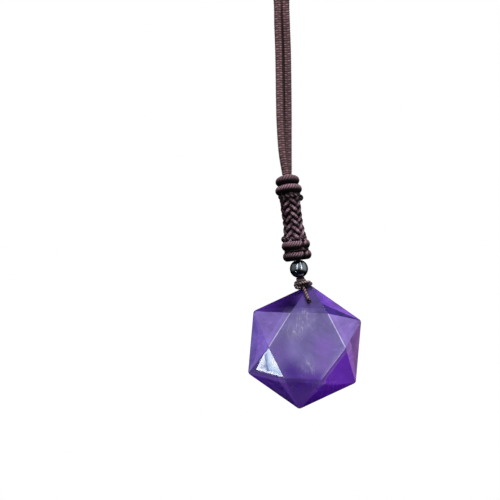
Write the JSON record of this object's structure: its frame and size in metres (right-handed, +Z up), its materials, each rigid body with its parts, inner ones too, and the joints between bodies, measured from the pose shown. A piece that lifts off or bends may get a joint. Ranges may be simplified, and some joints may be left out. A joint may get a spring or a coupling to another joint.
{
  "type": "crystal pendant necklace",
  "caption": "Six-sided cut purple stone hung by a thread below a round black bead and a woven sleeve, on a loop of brown braided neck cord.",
  "frame": {"origin": "where the inner side of the neck cord lies on the back of the neck, at the top of the loop", "axes": "+Z up, +X to the right as seen from the front, -Y towards the viewer, out of the stone's front table"},
  "size_m": [0.1063, 0.01, 0.3762],
  "materials": {
    "cord": "fine braided brown cord",
    "thread": "thin twisted brown thread",
    "bead": "polished black, metallic shine",
    "stone": "polished cloudy purple quartz"
  },
  "bodies": {
    "cord": {"neck_cord": "cord", "upper_wrap_1": "cord", "upper_wrap_2": "cord", "woven_sleeve": "cord", "lower_wrap_1": "cord", "lower_wrap_2": "cord", "bead_thread": "thread", "bead": "bead", "tie_knot": "thread", "stone_thread": "thread"},
    "stone": {"stone": "stone"}
  },
  "joints": [
    {"name": "stone_swing", "type": "hinge", "parent": "cord", "child": "stone", "pos_m": [0.01534, 0, -0.33801], "axis": [0, -1, 0], "range_deg": [-20, 45]}
  ]
}
